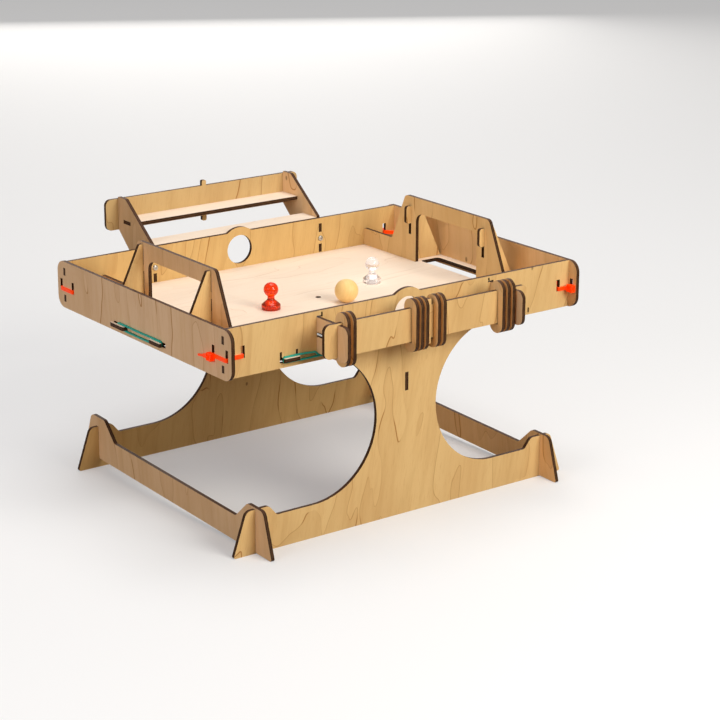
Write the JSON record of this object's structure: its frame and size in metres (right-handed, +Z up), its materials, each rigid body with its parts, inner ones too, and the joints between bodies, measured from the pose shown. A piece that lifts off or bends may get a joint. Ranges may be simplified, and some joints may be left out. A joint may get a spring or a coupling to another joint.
{
  "type": "tabletop football table",
  "caption": "Plywood tabletop football game: a raised tray on two hourglass pillars, with goals, a score bar with sliding rings, a small tribune, magnet figures and a ball.",
  "frame": {"origin": "middle of the footprint, on the surface that the table stands on", "axes": "+X from goal to goal, +Y from the score bar to the tribune, +Z up"},
  "size_m": [0.3386, 0.3308, 0.2113],
  "materials": {
    "plywood": "birch plywood, matt faces, laser-charred edges",
    "rubber_band": "teal rubber, satin",
    "tie": "orange-red nylon",
    "zinc": "zinc-plated steel",
    "magnet": "nickel-plated magnet",
    "red_plastic": "translucent red, polished",
    "clear_plastic": "clear, polished",
    "ball_wood": "turned wood, smooth"
  },
  "bodies": {
    "table": {"back_left_band": "rubber_band", "back_left_tie": "tie", "back_panel": "plywood", "back_right_band": "rubber_band", "back_right_tie": "tie", "front_left_band": "rubber_band", "front_left_tie": "tie", "front_panel": "plywood", "front_right_band": "rubber_band", "front_right_tie": "tie", "joint_nuts": "zinc", "joint_screws": "zinc", "left_cross_rail": "plywood", "left_end_band": "rubber_band", "left_end_wall": "plywood", "left_goal_back_buttress": "plywood", "left_goal_frame": "plywood", "left_goal_front_buttress": "plywood", "left_score_bracket": "plywood", "left_tribune_side": "plywood", "lower_tribune_shelf": "plywood", "pillar_brace": "plywood", "play_field": "plywood", "right_cross_rail": "plywood", "right_end_band": "rubber_band", "right_end_wall": "plywood", "right_goal_back_buttress": "plywood", "right_goal_frame": "plywood", "right_goal_front_buttress": "plywood", "right_score_bracket": "plywood", "right_tribune_side": "plywood", "score_bar": "plywood", "tribune_bar": "plywood", "upper_tribune_shelf": "plywood"},
    "ball": {"ball": "ball_wood"},
    "clear_pawn": {"clear_pawn": "clear_plastic", "clear_pawn_magnet": "magnet"},
    "red_pawn": {"red_pawn": "red_plastic", "red_pawn_magnet": "magnet"},
    "score_ring_01": {"score_ring_01": "plywood"},
    "score_ring_02": {"score_ring_02": "plywood"},
    "score_ring_03": {"score_ring_03": "plywood"},
    "score_ring_04": {"score_ring_04": "plywood"},
    "score_ring_05": {"score_ring_05": "plywood"},
    "score_ring_06": {"score_ring_06": "plywood"},
    "score_ring_07": {"score_ring_07": "plywood"},
    "score_ring_08": {"score_ring_08": "plywood"},
    "score_ring_09": {"score_ring_09": "plywood"},
    "score_ring_10": {"score_ring_10": "plywood"}
  },
  "joints": [
    {"name": "score_ring_01_slide", "type": "slide", "parent": "table", "child": "score_ring_01", "axis": [1, 0, 0], "range_m": [-0.0012, 0.00115]},
    {"name": "score_ring_02_slide", "type": "slide", "parent": "table", "child": "score_ring_02", "axis": [1, 0, 0], "range_m": [-0.00115, 0.05435]},
    {"name": "score_ring_03_slide", "type": "slide", "parent": "table", "child": "score_ring_03", "axis": [1, 0, 0], "range_m": [-0.05435, 0.0008]},
    {"name": "score_ring_04_slide", "type": "slide", "parent": "table", "child": "score_ring_04", "axis": [1, 0, 0], "range_m": [-0.0008, 0.0008]},
    {"name": "score_ring_05_slide", "type": "slide", "parent": "table", "child": "score_ring_05", "axis": [1, 0, 0], "range_m": [-0.0008, 0.00205]},
    {"name": "score_ring_06_slide", "type": "slide", "parent": "table", "child": "score_ring_06", "axis": [1, 0, 0], "range_m": [-0.0017, 0.0011]},
    {"name": "score_ring_07_slide", "type": "slide", "parent": "table", "child": "score_ring_07", "axis": [1, 0, 0], "range_m": [-0.0011, 0.0541]},
    {"name": "score_ring_08_slide", "type": "slide", "parent": "table", "child": "score_ring_08", "axis": [1, 0, 0], "range_m": [-0.0541, 0.00093]},
    {"name": "score_ring_09_slide", "type": "slide", "parent": "table", "child": "score_ring_09", "axis": [1, 0, 0], "range_m": [-0.00093, 0.00093]},
    {"name": "score_ring_10_slide", "type": "slide", "parent": "table", "child": "score_ring_10", "axis": [1, 0, 0], "range_m": [-0.00093, 0.0014]},
    {"name": "red_pawn_slide", "type": "slide", "parent": "table", "child": "red_pawn", "axis": [1, 0, 0], "range_m": [-0.0719, 0.0402]},
    {"name": "clear_pawn_slide", "type": "slide", "parent": "table", "child": "clear_pawn", "axis": [1, 0, 0], "range_m": [-0.0509, 0.0612]},
    {"name": "ball_roll", "type": "slide", "parent": "table", "child": "ball", "axis": [1, 0, 0], "range_m": [-0.1615, 0.1425]}
  ]
}
